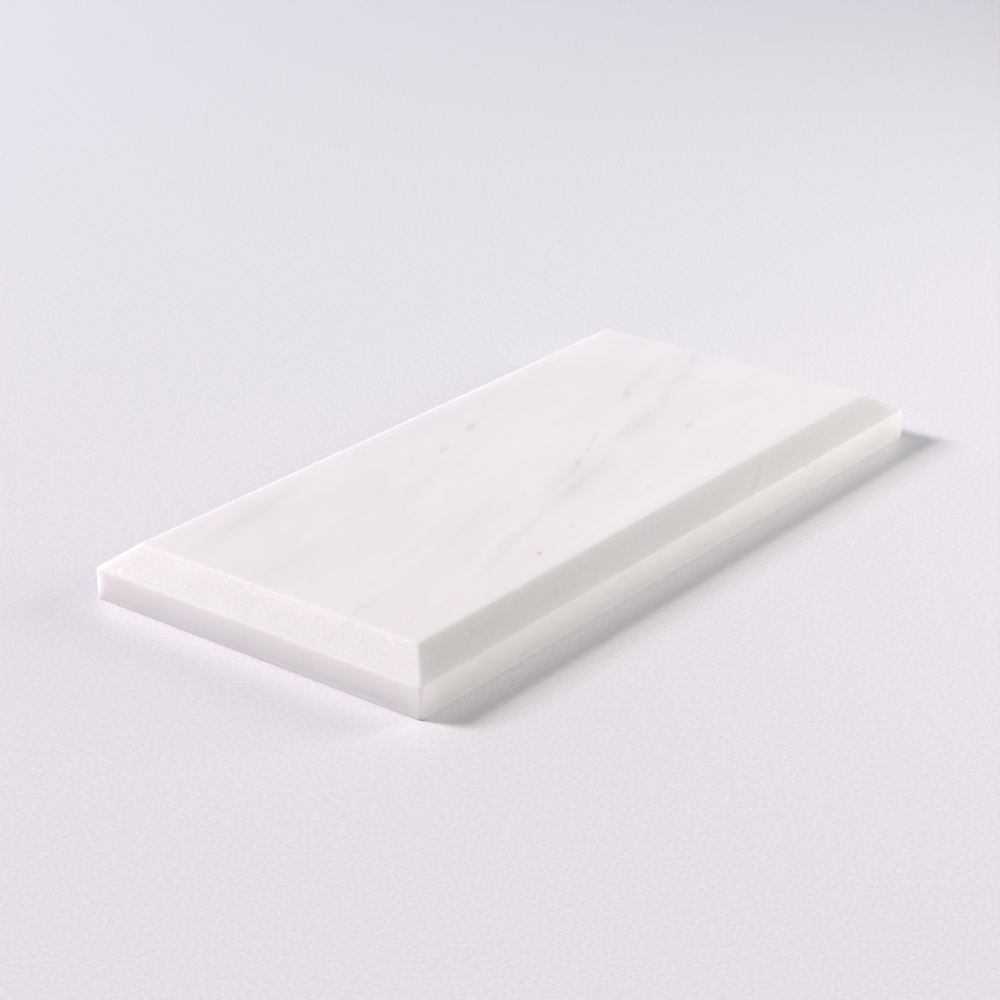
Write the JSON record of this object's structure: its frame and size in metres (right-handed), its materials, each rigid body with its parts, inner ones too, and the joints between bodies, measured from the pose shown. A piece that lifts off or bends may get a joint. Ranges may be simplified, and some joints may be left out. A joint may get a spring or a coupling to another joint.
{
  "type": "beveled subway tile",
  "caption": "Rectangular wall tile of white marble with a wide bevel mitred round its polished face, square edges and a flat sawn back.",
  "frame": {"origin": "centre of the tile's sawn back, the face it is bedded on", "axes": "+X along the long sides, +Y along the short ends, +Z out of the polished face"},
  "size_m": [0.15, 0.075, 0.01],
  "materials": {
    "marble": "white marble: polished face, honed bevels, sawn edges and back"
  },
  "bodies": {
    "root": {"tile": "marble"}
  },
  "joints": []
}
